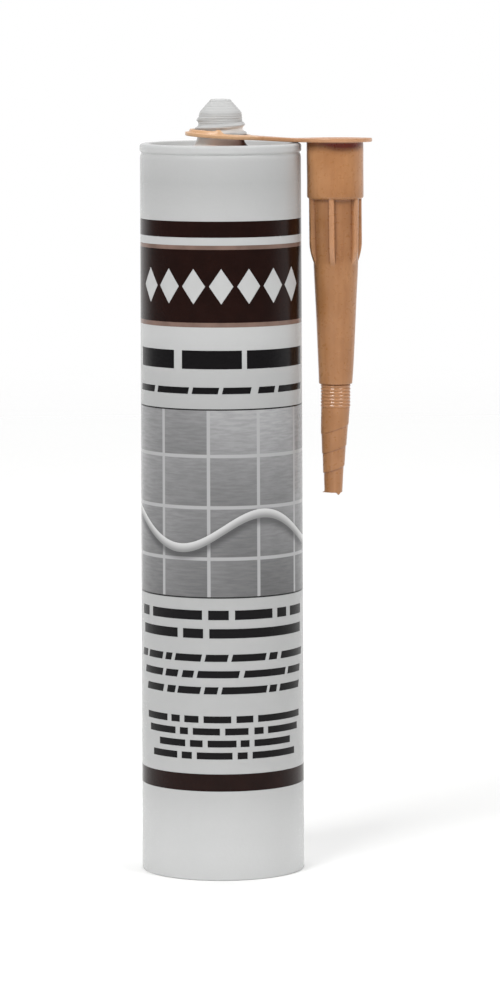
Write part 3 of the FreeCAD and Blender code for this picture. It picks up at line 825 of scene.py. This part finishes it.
def make_nozzle(mat):
    b = Builder()

    def bend(z):
        return np.interp(z, BEND[:, 0], BEND[:, 1])

    def ring(r, z, shear=0.0, painted_shade_light=0.0):
        r = np.broadcast_to(np.asarray(r, float), COLS_T.shape)
        a = col_angles(r)
        dx, dy = r * np.cos(a), r * np.sin(a)
        zz = np.asarray(z, float) + shear * dx
        zz = np.broadcast_to(zz, dx.shape)
        return b.loop(np.stack([NX + bend(zz) + dx, dy, zz], 1), painted_shade_light)

    def core_r(z):
        if z >= 185.4:
            return 6.78 + (7.15 - 6.78) * (z - 185.4) / (205.2 - 185.4)
        return 5.10 + (6.78 - 5.10) * (z - 149.0) / (185.4 - 149.0)

    def rib_r(z):
        if z >= 191.8:
            return 8.40
        t = (191.8 - z) / 6.4
        return 8.40 - 1.62 * t ** 1.75

    def ribbed(z, share=1.0):
        c = core_r(z)
        return c + COLS_F * max(0.0, rib_r(z) - c) * share

    def beside(z):
        """Painted shade beside and on the flanks of each rib, and painted light on its faces, for each column, as far
        as the rib stands out.
        """
        return RIB_SHADE_LIGHT * min(1.0, max(0.0, rib_r(z) - core_r(z)) / 0.6)

    def shaded(z, a):
        """Painted shadow of the plate on the socket, deepest at the front and to the right."""
        deep = 1.45 + 1.05 * np.exp(-((np.angle(np.exp(1j * (a + math.radians(66)))) / 0.66) ** 4))
        side = np.abs(np.angle(np.exp(1j * (a + math.radians(72)))))
        return (0.74 + 0.26 * np.exp(-((side / 0.95) ** 4))) * np.exp(-((PLATE_Z - z) / deep) ** 5)

    chain = []
    # socket, from under the plate down to its rounded foot, with the plate's painted shadow on its top
    chain.append(ring(8.74, PLATE_Z, 0, 0.55))
    under = chain[-1]
    chain.append(ring(8.66, PLATE_Z - 0.06, 0, 0.65))
    chain.append(ring(8.61, PLATE_Z - 0.18, 0, 0.85))
    for z in [PLATE_Z - d for d in (0.45, 0.75, 1.05, 1.35, 1.65, 2.0, 2.4, 2.9, 3.5)] + list(np.linspace(217.9, 206.3, 12)):
        a = col_angles(np.full(COLS_T.shape, 8.6))
        wav = 0.022 * np.sin(2 * a + z * 0.35) + 0.014 * np.sin(5 * a - z * 0.5)
        fade = min(1.0, (PLATE_Z - z) / 2.0, (z - 206.0) / 2.0)
        chain.append(ring(8.60 + wav * fade, z, 0, shaded(z, a)))
    for r, z in arc(7.70, 206.10, 0.90, 0, -90, 9):
        share = float(np.clip((206.0 - z) / 0.75, 0, 1)) ** 0.5
        chain.append(ring(np.maximum(r, ribbed(205.2, share)), z))
    # painted shade under the socket's rounded foot, between the ribs
    low = np.where(COLS_F < 0.9, 1.0, 0.0)
    chain.append(ring(np.maximum(7.45, ribbed(205.15)), 205.19, 0, 0.20 * low))
    chain.append(ring(np.maximum(7.24, ribbed(205.10)), 205.13, 0, 0.42 * low))
    chain.append(ring(ribbed(204.9), 204.9, 0, np.where(low > 0, 0.42, beside(204.9))))
    chain.append(ring(ribbed(204.5), 204.5, 0, np.where(low > 0, np.maximum(0.22, beside(204.5)), beside(204.5))))
    for z in [204.1] + list(np.arange(203.5, 192.0, -1.5)) + list(np.arange(191.8, 185.3, -0.4)):
        chain.append(ring(ribbed(z), z, 0, beside(z)))
    # cone
    for z in np.linspace(184.6, 149.6, 22):
        a = col_angles(np.full(COLS_T.shape, 6.0))
        wav = 0.020 * np.sin(2 * a + z * 0.21) + 0.010 * np.sin(3 * a - z * 0.4)
        chain.append(ring(core_r(z) + wav * min(1.0, (184.8 - z) / 3.0, (z - 149.4) / 3.0 + 0.05), z))
    # painted shade in the corner of the step down to the ridges
    chain += [ring(5.10, 149.20), ring(5.07, 149.04), ring(4.98, 148.94), ring(4.80, 148.90, 0, 0.2),
              ring(4.42, 148.89, 0, 0.7), ring(4.30, 148.84, 0, 0.8)]
    # ridges, with painted shade in the grooves and painted light on the crests
    p0 = 148.35
    for z in np.arange(148.72, 141.85, -0.115):
        ph = (p0 - z) / 1.02
        k = 0.5 + 0.5 * math.cos(TAU * ph)
        chain.append(ring(4.37 + 0.20 * k ** 0.9, z, 0, 0.06 * (1 - k) - 0.45 * k))
    chain += [ring(4.33, 141.80), ring(4.35, 141.72), ring(4.38, 141.60)]
    # tip, with its slanted cut steps
    tilt = math.tan(math.radians(19.0))
    cuts = (134.95, 128.75, 122.65)
    segs = ((141.7, 4.37, 134.95, 4.20), (134.95, 4.02, 128.75, 3.70), (128.75, 3.52, 122.65, 3.25), (122.65, 3.00, 115.7, 2.73))

    def seg_r(i, z):
        z1, r1, z0, r0 = segs[i]
        return r0 + (r1 - r0) * (z - z0) / (z1 - z0)

    zs = list(np.arange(141.35, 115.95, -0.42))
    for c in cuts:
        zs += [c + 0.24, c + 0.14, c + 0.05, c - 0.05, c - 0.14, c - 0.24]
    zs = sorted(set(np.round(zs, 3)), reverse=True)
    keep = []
    for z in zs:
        if keep and keep[-1] - z < 0.06:
            continue
        keep.append(z)
    for z in keep:
        shear = tilt * float(smooth((141.3 - z) / 4.2) * smooth((z - 116.2) / 4.6))
        r = seg_r(0, z)
        line = 0.0
        for i, c in enumerate(cuts):
            t = float(smooth((c + 0.17 - z) / 0.34))
            r = r * (1 - t) + seg_r(i + 1, z) * t
            # painted shade along each cut step
            line += 0.45 * math.exp(-((z - c + 0.10) / 0.16) ** 2)
        chain.append(ring(r, z, shear, line))
    # cut end, a little ragged
    a = col_angles(np.full(COLS_T.shape, 2.7))
    rag = 0.05 * np.sin(5 * a + 0.6) + 0.035 * np.sin(11 * a)
    burr = np.exp(-((np.angle(np.exp(1j * (a - math.radians(186))))) / 0.16) ** 2)
    lug = np.exp(-((np.angle(np.exp(1j * (a - math.radians(-52))))) / 0.22) ** 2)
    chain.append(ring(2.73 + 0.10 * burr, 115.98 + 0.3 * rag))
    chain.append(ring(2.72 + 0.62 * burr + 0.03 * lug, 115.78 + 0.5 * rag - 0.12 * lug))
    chain.append(ring(2.64 + 0.72 * burr + 0.05 * lug, 115.70 + 0.5 * rag - 0.62 * lug))
    chain.append(ring(2.40 + 0.05 * lug, 115.68 + 0.5 * rag - 0.78 * lug))
    chain.append(ring(2.14, 115.72 + 0.4 * rag - 0.12 * lug))
    # bore, back up to the socket
    chain.append(ring(1.96, 115.90))
    for z in np.linspace(116.4, 141.7, 14):
        chain.append(ring(1.90 + (3.35 - 1.90) * (z - 115.7) / 26.0, z))
    for z in np.linspace(143.5, 150.9, 4):
        chain.append(ring(3.35 + 0.5 * (z - 141.7) / 9.2, z))
    for z in np.linspace(153.5, 207.2, 18):
        chain.append(ring(3.85 + 1.53 * (z - 150.9) / 56.5, z))
    chain += [ring(5.55, 207.55), ring(6.6, 208.5), ring(7.35, 209.15), ring(7.55, 209.45), ring(7.60, 209.8)]
    # the socket's own thread
    deg = np.degrees(col_angles(np.full(COLS_T.shape, 7.6)))
    for z in np.arange(210.1, 222.3, 0.22):
        inward = np.zeros_like(deg)
        for k in range(-4, 9):
            d = deg + 360.0 * k
            zc = 213.0 + PITCH * d / 360.0
            fade = smooth((zc - 210.6) / 1.2) * smooth((221.6 - zc) / 1.2)
            pr = np.clip((0.78 - np.abs(z - zc)) / 0.55, 0, 1)
            inward = np.maximum(inward, 0.52 * fade * smooth(pr))
        chain.append(ring(7.60 - inward, z))
    mouth_z = PLATE_Z + STRAP_T
    chain += [ring(7.60, 222.6), ring(7.60, mouth_z - 0.45), ring(7.68, mouth_z - 0.2), ring(7.84, mouth_z - 0.05),
              ring(8.02, mouth_z)]
    mouth = chain[-1]
    for i in range(len(chain) - 1):
        b.bridge(chain[i], chain[i + 1])

    # plate, strap and ring
    def wall(off, rise_from_top=None, rise_from_low=None):
        o = outline(off)
        z = strap_top(o[:, 0], o[:, 1]) - rise_from_top if rise_from_top is not None else strap_z(o[:, 0]) + rise_from_low
        return o, b.loop(np.column_stack([o, z]))

    rows = [wall(0.34, 0.0), wall(0.16, 0.05), wall(0.05, 0.16), wall(0.0, 0.34), wall(0.0, None, 0.34),
            wall(0.05, None, 0.16), wall(0.16, None, 0.05), wall(0.34, None, 0.0)]
    for i in range(len(rows) - 1):
        b.bridge(rows[i][1], rows[i + 1][1])
    nh = 132

    def hole(r, top, d):
        c = circle(0.0, r, nh)
        z = strap_top(c[:, 0], c[:, 1]) - d if top else strap_z(c[:, 0]) + d
        # painted shade on the walls of the ring's hole
        return c, b.loop(np.column_stack([c, z]), 0.0 if r > HOLE_R + 0.2 else 0.8)

    holes = [hole(HOLE_R + 0.26, True, 0.0), hole(HOLE_R + 0.12, True, 0.04), hole(HOLE_R + 0.03, True, 0.13),
             hole(HOLE_R, True, 0.30), hole(HOLE_R, False, 0.26), hole(HOLE_R + 0.03, False, 0.11),
             hole(HOLE_R + 0.10, False, 0.03), hole(HOLE_R + 0.22, False, 0.0)]
    for i in range(len(holes) - 1):
        b.bridge(holes[i][1], holes[i + 1][1])
    V = np.array(b.verts)
    mouth_plan, under_plan = V[mouth][:, :2], V[under][:, :2]
    sheet(b, rows[0], [holes[0], (mouth_plan, mouth)],
          [circle(0.0, r, 108) for r in (9.10, 9.28, 9.46, 9.64, 9.80)], strap_top, 0.95)
    sheet(b, rows[-1], [holes[-1], (under_plan, under)], [], lambda px, py: strap_z(px), 1.5)
    b.verts = twist(np.array(b.verts)).tolist()
    me = b.mesh("nozzle", 38)
    return add_piece("nozzle_moulding", me, mat, "nozzle", "nozzle")


# ------------------------------------------------------------------ paste
def make_paste(mat):
    n = 96
    b = Builder()
    ang = np.arange(n) * TAU / n
    prof = [(22.2, 32.66), (22.8, 32.72), (23.0, 33.1)]
    prof += steps(prof[-1], (23.0, 217.0), 30)
    prof += [(22.75, 217.9), (22.2, 218.5), (21.3, 218.72)]
    last = None
    for r, z in prof:
        now = b.loop(np.stack([r * np.cos(ang), r * np.sin(ang), np.full(n, z)], 1))
        if last is None:
            b.fan(now, b.point((0, 0, 32.66)))
        else:
            b.bridge(last, now)
        last = now
    b.fan(last, b.point((0, 0, 218.72)))
    me = b.mesh("paste", 60)
    ob = add_piece("sealant_fill", me, mat, "barrel", "sealant")
    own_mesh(ob)
    return ob


make_camera()
make_stage()
make_barrel(barrel_material())
make_nozzle(nozzle_material())
make_paste(paste_material())

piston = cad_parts["piston"]
piston.data.materials.clear()
piston.data.materials.append(piston_material())
